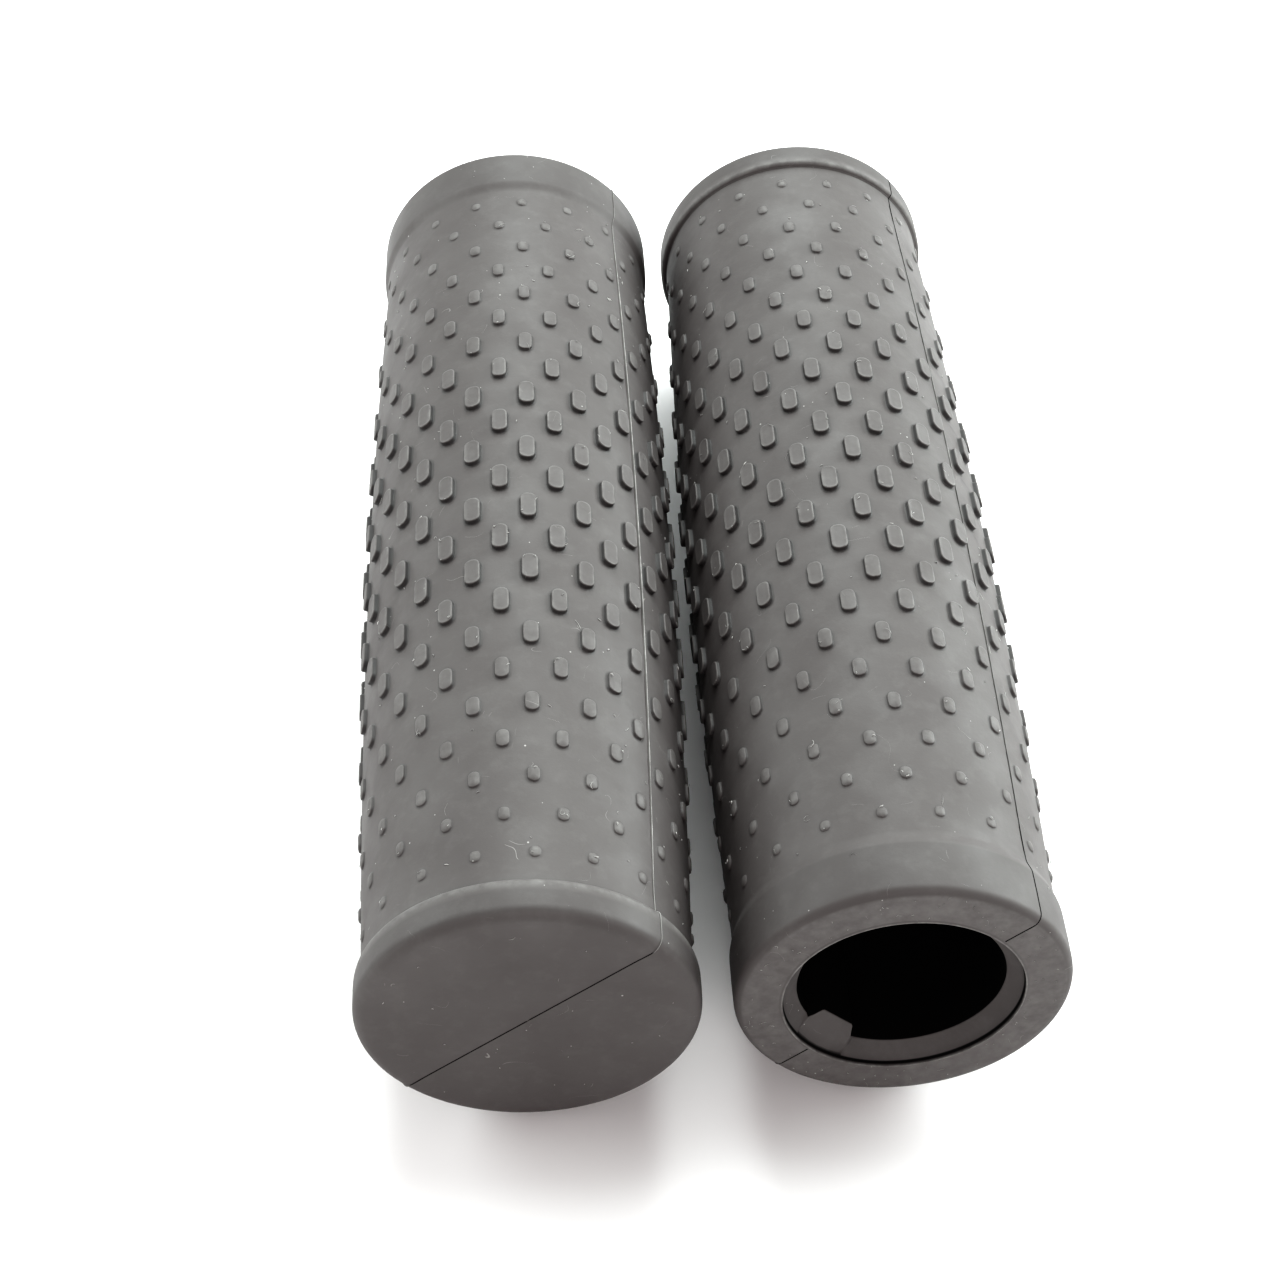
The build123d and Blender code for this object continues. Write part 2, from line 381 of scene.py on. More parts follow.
def pad_cells(sizes, pads, seed):
    """The body between the flanges as brick-like cells, one pad to a cell.

    Each of PAD_LOOPS is a rounded rectangle round the pad's middle: its sizes are the pad's plus the offset,
    and its height above the body is the share times the pad's height. Small dots lean towards a dome, whose
    height is 3 t^2 - 2 t^3 of the dot's, with t from 0 just outside its outline to 1 at its middle.
    """
    dome_foot, least_crispness, roundness = 0.16, 0.25, 0.9
    wall_waver, height_error = 0.018, 0.6
    lay = pad_layout(pads, seed)
    growth, errors = lay["growth"], lay["errors"]
    count = len(growth)
    half_width = (pad_size(pads, "width", growth) + errors[0]) / 2
    half_length = (pad_size(pads, "length", growth) + errors[1]) / 2
    height = pad_size(pads, "height", swelling(lay["along"], pads)) + errors[2] * height_error
    share = half_width / (pads["pad_width"] / 2)
    crisp = least_crispness + (1 - least_crispness) * growth
    boundary = cell_boundary()
    around = len(boundary)
    cell_angle = 2 * math.pi / pads["pads_in_row"]
    edge = np.broadcast_to(boundary, (count, around, 2)) * (cell_angle / 2, pads["row_pitch"] / 2)
    local_radius = body_radius(lay["along"], sizes, pads)
    waver = np.random.default_rng(seed + 1).normal(size=(count, around))
    waver = (waver + np.roll(waver, 1, 1)) / 2
    angles, alongs = [edge[..., 0]], [edge[..., 1]]
    heights, worn = [np.zeros(count)], [np.zeros(count)]
    for offset, climb, sink, light_and_dust_marks in PAD_LOOPS:
        inward = np.clip((dome_foot - offset) / (half_width + dome_foot), 0, 1)
        dome = inward**2 * (3 - 2 * inward)
        grown = offset * np.clip(share, 0.5, 1) if offset < 0 else np.full(count, offset)
        corner = np.clip(roundness * half_width + grown, 0.06, None)
        corner = np.minimum(corner, half_width + grown - 0.01)
        loop = outline(half_width + grown, half_length + grown, corner)
        if 0 < climb < 1:
            outward = loop / np.linalg.norm(loop, axis=-1, keepdims=True)
            loop = loop + outward * (waver * wall_waver)[..., None]
        angles.append(loop[..., 0] / local_radius[:, None])
        alongs.append(loop[..., 1])
        heights.append(height * (climb * crisp + dome * (1 - crisp)) - sink * share)
        # Painted highlight and painted shade of each loop; a small dot's top is painted paler towards its
        # middle
        worn.append(light_and_dust_marks * crisp + 0.5 * dome * (1 - crisp))
    depth = len(angles)
    on_pad = (np.arange(depth) > 0)[:, None]
    angle_error, along_error = errors[3] / local_radius, errors[4]
    angle = np.stack(angles, 1) + lay["angle"][:, None, None] + angle_error[:, None, None] * on_pad
    along = np.stack(alongs, 1) + lay["along"][:, None, None] + along_error[:, None, None] * on_pad

    def with_centres(loops, centre):
        """Each pad's loops, and after them its centre vertex."""
        return np.concatenate((loops.reshape(count, -1), centre[:, None]), 1).ravel()

    raised = with_centres(np.repeat(np.stack(heights, 1), around, 1), heights[-1])
    worn = with_centres(np.repeat(np.stack(worn, 1), around, 1), worn[-1])
    angle, along = with_centres(angle, angle[:, -1].mean(1)), with_centres(along, along[:, -1].mean(1))
    size = depth * around + 1
    quads = each_copy(ring_faces(depth, around), count, size)
    fans = each_copy(fan_faces((depth - 1) * around, around, depth * around), count, size)
    radius = body_radius(along, sizes, pads) + raised
    return angle, along, radius, worn, np.zeros(len(angle)), [quads, fans]


# ---------------------------------------------------------------- the moulding's ends


def closed_profile(sizes, pads):
    """(along, radius) from the end face's middle, over the rounded rim and down the shoulder to the body."""
    radius, width, edge = sizes["closed_flange_radius"], sizes["closed_flange_width"], sizes["closed_edge"]
    body = sizes["body_end_radius"]
    shoulder, root = 0.65, 0.16
    dished = [(FACE_DISH, radius * share) for share in (0.15, 0.35, 0.55, 0.72)]
    level = [(0.04, radius * 0.82), (0.0, radius * 0.89)]
    rim = arc((edge, radius - edge), edge, 180, 90, 7)
    outside = [((edge + width) / 2, radius + 0.02)]
    corner = arc((width - shoulder, radius - shoulder), shoulder, 90, 0, 4)
    foot = arc((width + root, body + root), root, 180, 270, 4)
    stop = [(pads["first_row"] - pads["row_pitch"] / 2, body)]
    return np.concatenate((dished, level, rim, outside, corner, foot, stop))


def mouth_profile(sizes, pads, length):
    """(along, radius) from the body up the sloping shoulder, over the flange and its rim to the counterbore.

    The shoulder rises as 3 t^2 - 2 t^3. Returns the profile, each point's paint (painted shade on the flange
    and at the counterbore's foot, dust with painted light on the face, a painted highlight on the lip), and
    the numbers of the first points of the face and of the raised lip round the counterbore.
    """
    radius, width, edge = sizes["mouth_flange_radius"], sizes["mouth_flange_width"], sizes["mouth_edge"]
    body, slope = sizes["body_end_radius"], sizes["mouth_slope"]
    bore, depth = sizes["counterbore_radius"], sizes["counterbore_depth"]
    start = [(pads["first_row"] + (pads["rows"] - 0.5) * pads["row_pitch"], body)]
    share = np.linspace(0, 1, 9)
    foot = length - width - slope
    rise = np.stack((foot + slope * 1.15 * share, body + (radius - body) * (3 * share**2 - 2 * share**3)), 1)
    outside = [(length - width * 0.55, radius + 0.02)]
    rim = arc((length - edge, radius - edge), edge, 90, 0, 7)
    face = [(length, bore + 3.0), (length, bore + 1.4), (length, bore + 0.45), (length + 0.02, bore + 0.22)]
    lip = [(length + 0.10, bore + 0.12), (length + 0.11, bore + 0.04), (length + 0.02, bore)]
    wall = [(length - depth * 0.6, bore - 0.01), (length - depth, bore - WALL_DRAFT)]
    profile = np.concatenate((start, rise, outside, rim, face, lip, wall))
    first_lip = len(profile) - len(wall) - len(lip)
    first_face = first_lip - len(face)
    # Painted shade on the flange's top and at the counterbore's foot, dust with painted light on the face,
    # and a painted highlight on the raised lip
    flange_painted_shade, face_dust_and_light, highlighted, corner_shade = -0.15, 0.3, 1.0, -1.0
    light_and_dust_marks = np.zeros(len(profile))
    light_and_dust_marks[len(rise) : len(rise) + 3] = flange_painted_shade
    light_and_dust_marks[first_face - 2 : first_lip - 1] = face_dust_and_light
    light_and_dust_marks[first_lip : first_lip + len(lip)] = highlighted
    light_and_dust_marks[-1] = corner_shade
    return profile, light_and_dust_marks, first_face, first_lip


def mouth_section(sizes, bore_radius, count):
    """The keyed bore's section, and where its vertices start from on the counterbore's edge.

    Half of the rib is a few points given as (height above the bore's wall, half width in the bore, half
    width at the counterbore), and the circle's other vertices are spread evenly from there. The other half
    is its mirror image. Angles are from the rib's middle. Returns the section's angles and radii, the angles
    on the counterbore, and a mask of the vertices that belong to the rib.
    """
    top, base, height = sizes["rib_top"] / 2, sizes["rib_base"] / 2, sizes["rib_height"]
    foot_height, beside = 0.5, 0.04
    step_radius = sizes["counterbore_radius"] - WALL_DRAFT
    half = np.array((
        (height, 0.0, 0.0),
        (height, top * 0.5, base * 0.4),
        (height, top - 0.2, base * 0.75),
        (height - 0.15, top + 0.02, base - 0.2),
        (height * 0.55, (top + base) / 2, base - 0.03),
        (foot_height, base, base),
        (foot_height, base + beside, base + beside),
    ))
    height_above, inner, outer = half.T
    reach = bore_radius - height_above
    reach[-2:] = bore_radius * math.cos(math.asin(inner[-1] / bore_radius))
    rib_angle, rib_radius = np.arctan2(inner, reach), np.hypot(inner, reach)
    step_rib = np.arcsin(outer / step_radius)
    others = count // 2 + 1 - len(half)
    rest = np.linspace(rib_angle[-1], math.pi, others + 1)[1:]
    step_rest = np.linspace(step_rib[-1], math.pi, others + 1)[1:]

    def mirrored(values, sign):
        """A half ring's values, and after them the other half's, in reverse and with a sign."""
        return np.concatenate((values, sign * values[-2:0:-1]))

    angle = mirrored(np.concatenate((rib_angle, rest)), -1) % (2 * math.pi)
    radius = mirrored(np.concatenate((rib_radius, np.full(others, bore_radius))), 1)
    step_angle = mirrored(np.concatenate((step_rib, step_rest)), -1) % (2 * math.pi)
    on_rib = mirrored(np.arange(count // 2 + 1) < len(half) - 1, 1).astype(bool)
    return angle, radius, step_angle, on_rib


def ring_angles(pads):
    """Angles of a full ring that matches the cells' edges."""
    count = pads["pads_in_row"] * QUARTER_STEPS
    return (np.arange(count) / count - 0.25 / pads["pads_in_row"]) * 2 * math.pi


def closed_end(sizes, pads):
    """The closed end: its profile turned about the axis, and a fan at the middle of its face."""
    turns = ring_angles(pads)
    count = len(turns)
    profile = closed_profile(sizes, pads)
    rings = len(profile)
    along, radius = profile.T
    shoulder = (along > sizes["closed_flange_width"] - 0.7) & (radius > sizes["closed_flange_radius"] - 0.3)
    flange = radius > sizes["body_end_radius"] + 0.4
    # Painted highlight along the shoulder's edge, and painted shade on the rest of the flange
    flange_painted_shade, highlighted = -0.15, 0.45
    worn = np.append(np.repeat(np.where(shoulder, highlighted, flange_painted_shade * flange), count), 0.0)
    angle = np.append(np.tile(turns, rings), 0.0)
    along = np.append(np.repeat(along, count), FACE_DISH)
    radius = np.append(np.repeat(radius, count), 0.0)
    faces = [ring_faces(rings, count), fan_faces(0, count, rings * count)[:, ::-1]]
    return angle, along, radius, worn, np.zeros(len(angle)), faces


def lead_in_cone(place, sizes, step_angle, section_angle, section_radius, on_rib):
    """Rings of the cone from the counterbore's edge to the bore, with the rib's sloping front in it.

    Seen along the axis, a vertex moves in a straight line from its place on the edge to its place on the
    bore's section. On the cone its depth grows as its radius shrinks. On the rib it follows the front's
    slope, by how near it is to the axis along the rib's middle line. Angles are from that line.
    """
    share = np.array((0.04, 0.35, 0.65, 0.96, 1.0))[:, None]
    step_radius = sizes["counterbore_radius"] - WALL_DRAFT
    step_x, step_y = step_radius * np.cos(step_angle), step_radius * np.sin(step_angle)
    bore_x, bore_y = section_radius * np.cos(section_angle), section_radius * np.sin(section_angle)
    x, y = step_x + share * (bore_x - step_x), step_y + share * (bore_y - step_y)
    radius = np.hypot(x, y)
    rib_top = place.bore_radius - sizes["rib_height"]
    fall = (sizes["rib_front_inner"] - sizes["rib_front_outer"]) / (sizes["counterbore_radius"] - rib_top)
    rib_depth = sizes["rib_front_outer"] + fall * (sizes["counterbore_radius"] - x)
    cone_depth = sizes["counterbore_depth"] + sizes["counterbore_radius"] - radius
    return np.arctan2(y, x), place.length - np.where(on_rib, rib_depth, cone_depth), radius


def bore_rings(place, sizes, cone_along, on_rib):
    """How far along the bore's rings lie, a row for each: those that hold the rib, and the plain ones."""
    deep = place.length - sizes["counterbore_depth"] - (sizes["counterbore_radius"] - place.bore_radius)
    brink = np.minimum(cone_along, deep + 0.5 * on_rib)
    rib_end = place.length - sizes["rib_length"]
    wall = sizes["end_wall"]
    below_cone, behind_rib = np.array((0.8, 6.0, 16.0)), 0.2
    keyed = np.append(deep - below_cone, rib_end)
    unkeyed = np.array((rib_end - behind_rib, (rib_end + wall) / 2, wall))
    level = np.ones((1, len(on_rib)))
    return np.concatenate((brink[None] - 0.12, keyed[:, None] * level)), unkeyed[:, None] * level


def mouth_end(place, sizes, pads):
    """The mouth: its profile turned about the axis, the lead-in cone, the keyed bore and the bore's floor.

    From the mouth's face to the counterbore a ring's even angles slide over to the section's own angles.
    """
    turns = ring_angles(pads)
    count = len(turns)
    middle = math.pi - sizes["rib_turn"]
    section = mouth_section(sizes, place.bore_radius, count)
    nearest = round((middle - turns[0]) / (turns[1] - turns[0]))
    section_angle, section_radius, step_angle, on_rib = (np.roll(ring, nearest) for ring in section)

    def placed(ring):
        """A ring's angles from the rib's middle, as angles near the even ones."""
        return turns + (ring + middle - turns + math.pi) % (2 * math.pi) - math.pi

    profile, light_and_dust_marks, first_face, _ = mouth_profile(sizes, pads, place.length)
    slide = np.zeros((len(profile), 1))
    slide[first_face:, 0] = np.linspace(0, 1, len(profile) - first_face)
    cone_angle, cone_along, cone_radius = lead_in_cone(
        place, sizes, step_angle, section_angle, section_radius, on_rib
    )
    keyed, unkeyed = bore_rings(place, sizes, cone_along[-1], on_rib)
    level = np.ones((1, count))
    angle = (turns + slide * (placed(step_angle) - turns), cone_angle + middle,
             placed(section_angle) * np.ones_like(keyed), placed(section_angle) * np.ones_like(unkeyed))
    along = (profile[:, :1] * level, cone_along, keyed, unkeyed)
    radius = (profile[:, 1:] * level, cone_radius, section_radius * np.ones_like(keyed),
              np.full_like(unkeyed, place.bore_radius))
    rings = sum(len(part) for part in along)
    worn = np.zeros(rings)
    worn[: len(profile)] = light_and_dust_marks
    # The counterbore's wall and the bore are painted near black, as painted shade
    inside = np.zeros(rings)
    inside[len(profile) - 2 : len(profile)] = 1.0
    inside[-len(keyed) - len(unkeyed) :] = 1.0
    return (
        np.append(np.concatenate(angle), 0.0),
        np.append(np.concatenate(along), sizes["end_wall"]),
        np.append(np.concatenate(radius), 0.0),
        np.append(np.repeat(worn, count), 0.0),
        np.append(np.repeat(inside, count), 1.0),
        [ring_faces(rings, count), fan_faces((rings - 1) * count, count, rings * count)],
    )


def moulding_surface(place, sizes, pads, seed):
    """The whole moulding as one closed surface: the cells with their pads, the closed end and the mouth."""
    points, worn, inside, faces, first = [], [], [], [], 0
    patches = (pad_cells(sizes, pads, seed), closed_end(sizes, pads), mouth_end(place, sizes, pads))
    for angle, along, radius, patch_light_and_dust, patch_inside, parts in patches:
        points.append(place.points(angle, along, radius))
        worn.append(patch_light_and_dust)
        inside.append(patch_inside)
        faces.extend(part + first for part in parts)
        first += len(angle)
    paint = {"worn": np.concatenate(worn), "inside": np.concatenate(inside)}
    return weld(np.concatenate(points), paint, faces)


class GRIPS_OT_mouldings(bpy.types.Operator):
    """Build each grip's moulding, with its pads, mouth and keyed bore, in place of its plain solid"""

    bl_idname = "grips.mouldings"
    bl_label = "Mouldings"

    def execute(self, context):
        sizes = plain(context.scene.grip_moulding)
        pads = plain(context.scene.grip_pads)
        for side in SIDES:
            place = place_of(context, side)
            points, paint, faces = moulding_surface(place, sizes, pads, SEEDS[side])
            piece = make_piece(f"{side}_grip_moulding", points, faces, side, rubber(context), paint)
            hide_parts(f"{side}_grip")
        return {"FINISHED"}


# ---------------------------------------------------------------- mould flash and crumbs


def flash_path(place, sizes, pads):
    """The moulding's outline in its parting plane, as (along, radius), from the closed end to the mouth.

    It is the closed profile, the swelling body and the mouth's profile, joined and walked at even steps.
    """
    spacing, body_points = 0.3, 60
    closed = closed_profile(sizes, pads)
    mouth, _, _, first_lip = mouth_profile(sizes, pads, place.length)
    along = np.linspace(closed[-1, 0], mouth[0, 0], body_points)[1:-1]
    body = np.stack((along, body_radius(along, sizes, pads)), 1)
    path = np.concatenate(([(FACE_DISH, 0.0)], closed, body, mouth[:first_lip]))
    travel = np.concatenate(([0], np.cumsum(np.linalg.norm(np.diff(path, axis=0), axis=1))))
    even = np.arange(0, travel[-1], spacing)
    return np.stack((np.interp(even, travel, path[:, 0]), np.interp(even, travel, path[:, 1])), 1)


# The flash's section, as shares of its thickness across and of its height: buried root, flank, tip and back
FLASH_SECTION = ((-0.5, -0.6), (-0.42, 0.0), (-0.16, 0.6), (0.0, 1.0), (0.16, 0.6), (0.42, 0.0), (0.5, -0.6))


def flash_surface(place, sizes, pads, flash, middle_height, seed):
    """A thin feather along the parting plane, on both sides of the axis, as two closed strips.

    The section is carried along the path and stands along the path's normal. Its height runs from low to the
    middle height with the barrel's swelling, times a slow random waver, and its tip wanders sideways.
    """
    buried, drift, smoothing, waver_gain, waver_share = 0.12, 0.02, 21, 4.6, 0.12
    outside_thinning, middle_thinning = 0.3, 0.35
    path = flash_path(place, sizes, pads)
    tangent = np.gradient(path, axis=0)
    tangent /= np.linalg.norm(tangent, axis=1, keepdims=True)
    normal = np.stack((-tangent[:, 1], tangent[:, 0]), 1)
    rng = np.random.default_rng(seed)
    section = np.array(FLASH_SECTION)
    section_across, section_up = section.T
    rings, count = len(path), len(section)
    outside = path[:, 1] > sizes["body_end_radius"] - 0.5
    bump = swelling(path[:, 0], pads) ** 0.8 * outside
    low = np.where(outside, max(flash["end_height"], 0.4 * middle_height), flash["end_height"])
    girth = flash["thickness"] * (1 - outside_thinning * outside - middle_thinning * bump)
    points, faces, raised = [], [], []
    for number, start_angle in enumerate((0.0, math.pi)):
        noise = rng.normal(size=rings + smoothing - 1)
        waver = np.convolve(noise, np.ones(smoothing) / smoothing, "valid") * waver_gain
        height = low + (middle_height - low) * bump * (1 + waver_share * waver)
        across = section_across * girth[:, None] + (drift * waver)[:, None] * np.clip(section_up, 0, 1)
        out = np.clip(section_up, 0, None) * height[:, None] + np.minimum(section_up, 0) * buried
        along = path[:, :1] + normal[:, :1] * out
        radius = path[:, 1:] + normal[:, 1:] * out
        turn = start_angle + np.arctan2(across, np.maximum(radius, 0.3))
        points.append(place.points(turn.ravel(), along.ravel(), np.hypot(radius, across).ravel()))
        raised.append(np.repeat(np.clip(height / flash["left_height"], 0, 1), count))
        first = number * rings * count
        start = np.arange(count)[None] + first
        faces.append(ring_faces(rings, count, first))
        faces.extend((start[:, ::-1], start + (rings - 1) * count))
    tip = np.tile(np.clip(section_up * 2 - 1, 0, 1), 2 * rings)
    return np.concatenate(points), faces, {"raised": np.concatenate(raised), "tip": tip}


def slivers(rng, scale):
    """Short curved slivers lying on a surface, one for each scale, each a three-sided tube with closed ends.

    A sliver's centre line is an arc through its place, and its thickness falls to almost nothing at its
    ends. Returns how far each vertex lies across, ahead and up from the place, and the faces.
    """
    number, stations, sides = len(scale), 6, 3
    long_share, long_girth = 0.2, 0.022
    long_ones = rng.random(number) < long_share
    span = np.where(long_ones, rng.uniform(0.7, 1.6, number), rng.uniform(0.2, 0.6, number)) * scale
    thick = np.where(long_ones, long_girth, rng.uniform(0.03, 0.065, number)) * scale
    heading, bend = rng.uniform(0, 2 * math.pi, number), rng.normal(0, 0.7, number)
    share = np.linspace(-0.5, 0.5, stations)
    walk = heading[:, None] + bend[:, None] * share * 2
    girth = (thick[:, None] * np.sqrt(np.clip(1 - (2 * share) ** 2, 0.02, 1)))[..., None]
    ring = np.arange(sides) / sides * 2 * math.pi + math.pi / 2
    sideways = girth * np.cos(ring)
    across = (span[:, None] * share * np.cos(walk))[..., None] - np.sin(walk)[..., None] * sideways
    ahead = (span[:, None] * share * np.sin(walk))[..., None] + np.cos(walk)[..., None] * sideways
    up = girth * (np.sin(ring) + 0.6) + rng.uniform(0, 0.03, number)[:, None, None]
    caps = np.array((np.arange(sides)[::-1], np.arange(sides) + (stations - 1) * sides))
    size = stations * sides
    tubes = ring_faces(stations, sides)
    return across, ahead, up, [each_copy(tubes, number, size), each_copy(caps, number, size)]


def surface_radius(angle, along, place, sizes, pads):
    """Radius of the moulding's outside at a place: the body, or the top of the pad or the flange there."""
    radius = body_radius(along, sizes, pads)
    step = 2 * math.pi / pads["pads_in_row"]
    row = np.clip(np.round((along - pads["first_row"]) / pads["row_pitch"]), 0, pads["rows"] - 1)
    growth = row_growth(row, pads)
    turn = (angle - step / 4 - step / 2 * (row % 2) + step / 2) % step - step / 2
    beside = abs(turn) * radius < pad_size(pads, "width", growth) / 2
    within = abs(along - pads["first_row"] - row * pads["row_pitch"]) < pad_size(pads, "length", growth) / 2
    radius = radius + pad_size(pads, "height", swelling(along, pads)) * (beside & within)
    return np.where(along > place.length - sizes["mouth_flange_width"], sizes["mouth_flange_radius"], radius)


def crumb_surface(place, sizes, pads, number, seed):
    """Slivers over a grip's outside, most of them at its pads, and smaller ones on its two end faces.

    Outside, across turns about the axis, ahead runs along it and up adds to the radius. On the mouth's face,
    ahead runs inwards and up runs along the axis. On the closed end, ahead runs outwards and up runs against
    the axis.
    """
    pad_share, dot_reach, face_scale, face_level = 0.6, 0.3, 0.6, 0.04
    rng = np.random.default_rng(seed)
    lay = pad_layout(pads, seed)
    chosen = rng.integers(len(lay["along"]), size=number)
    round_pad = rng.uniform(0, 2 * math.pi, number)
    reach = 0.5 * (dot_reach + (1 - dot_reach) * lay["growth"][chosen])
    aside = reach * pads["pad_width"] * np.cos(round_pad)
    pad_angle = lay["angle"][chosen] + aside / sizes["body_middle_radius"]
    pad_along = lay["along"][chosen] + reach * pads["pad_length"] * np.sin(round_pad)
    at_pad = rng.random(number) < pad_share
    outside_along = np.where(at_pad, pad_along, rng.uniform(pads["first_row"] - 2, place.length - 4, number))
    outside_angle = np.where(at_pad, pad_angle, rng.uniform(0, 2 * math.pi, number))
    outside_radius = surface_radius(outside_angle, outside_along, place, sizes, pads)

    on_mouth, on_end = number // 4, number // 20
    face_outer = sizes["mouth_flange_radius"] - 0.6 * sizes["mouth_edge"]
    mouth_radius = rng.uniform(sizes["counterbore_radius"] + 0.6, face_outer, on_mouth)
    end_radius = (sizes["closed_flange_radius"] - sizes["closed_edge"]) * np.sqrt(rng.random(on_end))
    base = np.concatenate((outside_radius, mouth_radius, end_radius))[:, None, None]
    where = np.concatenate((outside_angle, rng.uniform(0, 2 * math.pi, on_mouth + on_end)))[:, None, None]

    scale = np.concatenate((np.ones(number), np.full(on_mouth + on_end, face_scale)))
    across, ahead, up, faces = slivers(rng, scale)
    cuts = (number, number + on_mouth)
    ahead_outside, ahead_mouth, ahead_end = np.split(ahead, cuts)
    up_outside, up_mouth, up_end = np.split(up, cuts)
    outside_along = outside_along[:, None, None] + ahead_outside
    along = np.concatenate((outside_along, place.length + up_mouth, face_level - up_end))
    radius = base + np.concatenate((up_outside, -ahead_mouth, ahead_end))
    angle = where + across / np.maximum(base, 1)
    return place.points(angle.ravel(), along.ravel(), radius.ravel()), faces


class GRIPS_OT_flash(bpy.types.Operator):
    """Build the feather of mould flash along each grip's parting plane"""

    bl_idname = "grips.flash"
    bl_label = "Mould flash"

    def execute(self, context):
        sizes = plain(context.scene.grip_moulding)
        pads = plain(context.scene.grip_pads)
        flash = plain(context.scene.grip_flash)
        for side in SIDES:
            place = place_of(context, side)
            height = flash[f"{side}_height"]
            points, faces, paint = flash_surface(place, sizes, pads, flash, height, SEEDS[side] + 2)
            make_piece(f"{side}_grip_flash", points, faces, side, feather(context), paint)
        return {"FINISHED"}


class GRIPS_OT_crumbs(bpy.types.Operator):
    """Scatter shreds of rubber and lint over each grip"""

    bl_idname = "grips.crumbs"
    bl_label = "Crumbs and lint"

    def execute(self, context):
        sizes = plain(context.scene.grip_moulding)
        pads = plain(context.scene.grip_pads)
        number = context.scene.grip_flash.crumbs
        for side in SIDES:
            place = place_of(context, side)
            points, faces = crumb_surface(place, sizes, pads, number, SEEDS[side] + 3)
            make_piece(f"{side}_grip_crumbs", points, faces, side, lint())
        return {"FINISHED"}


# ---------------------------------------------------------------- materials


class Nodes:
    """Short ways to add and join shader nodes."""

    def __init__(self, name):
        self.material = bpy.data.materials.new(name)
        self.material.use_nodes = True
        self.tree = self.material.node_tree
        self.shader = self.tree.nodes["Principled BSDF"]
        self.coords = self.add("ShaderNodeTexCoord").outputs["Object"]

    def add(self, kind, inputs=None, **settings):
        """A node with its settings, and its inputs given as a dict of name or number to value or socket."""
        node = self.tree.nodes.new(kind)
        for key, value in settings.items():
            setattr(node, key, value)
        for key, value in (inputs or {}).items():
            self.join(value, node.inputs[key])
        return node

    def join(self, value, socket):
        """Links a socket, or sets a plain value."""
        if isinstance(value, bpy.types.NodeSocket):
            self.tree.links.new(value, socket)
        else:
            socket.default_value = value

    def finish(self, name, value):
        """Gives one of the shader's inputs its value."""
        self.join(value, self.shader.inputs[name])

    def painted(self, name):
        """A value painted on the mesh's vertices."""
        return self.add("ShaderNodeAttribute", attribute_name=name).outputs["Fac"]

    def noise(self, scale, detail=4.0, rough=0.55, distortion=0.0):
        """Noise from 0 to 1, with its scale in features to the metre."""
        inputs = {"Vector": self.coords, "Scale": scale, "Detail": detail, "Roughness": rough}
        return self.add("ShaderNodeTexNoise", {**inputs, "Distortion": distortion}).outputs["Fac"]

    def ramp(self, value, low, high, out_low=0.0, out_high=1.0):
        """Straight ramp between two values, held level outside them."""
        inputs = {"Value": value, "From Min": low, "From Max": high, "To Min": out_low, "To Max": out_high}
        return self.add("ShaderNodeMapRange", inputs).outputs["Result"]

    def maths(self, operation, first, second=0.0):
        """One maths step."""
        return self.add("ShaderNodeMath", {0: first, 1: second}, operation=operation).outputs[0]

    def mix(self, factor, first, second):
        """Mix of two colours, each a socket or red, green and blue."""
        node = self.add("ShaderNodeMix", data_type="RGBA")
        colours = [one if isinstance(one, bpy.types.NodeSocket) else (*one, 1.0) for one in (first, second)]
        sockets = [socket for socket in node.inputs if socket.type == "RGBA"]
        self.join(factor, node.inputs["Factor"])
        for colour, socket in zip(colours, sockets):
            self.join(colour, socket)
        return next(socket for socket in node.outputs if socket.type == "RGBA")


def speckle(nodes, scale, size, share):
    """Dots: 1 within a small distance of the middle of a chosen share of Voronoi cells, and 0 elsewhere."""
    cells = nodes.add("ShaderNodeTexVoronoi", {"Vector": nodes.coords, "Scale": scale})
    near = nodes.ramp(cells.outputs["Distance"], size, size * 0.6)
    pick = nodes.add("ShaderNodeSeparateColor", {"Color": cells.outputs["Color"]}).outputs["Red"]
    return nodes.maths("MULTIPLY", near, nodes.maths("GREATER_THAN", pick, 1 - share))


def hairlines(nodes, scale, width, gate_scale, gate):
    """Fine curved scratches: 1 where a smooth noise is within a hair of its middle value, in patches."""
    field = nodes.noise(scale, detail=0.0, distortion=0.6)
    away = nodes.maths("ABSOLUTE", nodes.maths("SUBTRACT", field, 0.5))
    line = nodes.ramp(away, width, width * 0.4)
    patch = nodes.ramp(nodes.noise(gate_scale, detail=1.0), gate, gate + 0.02)
    return nodes.maths("MULTIPLY", line, patch)


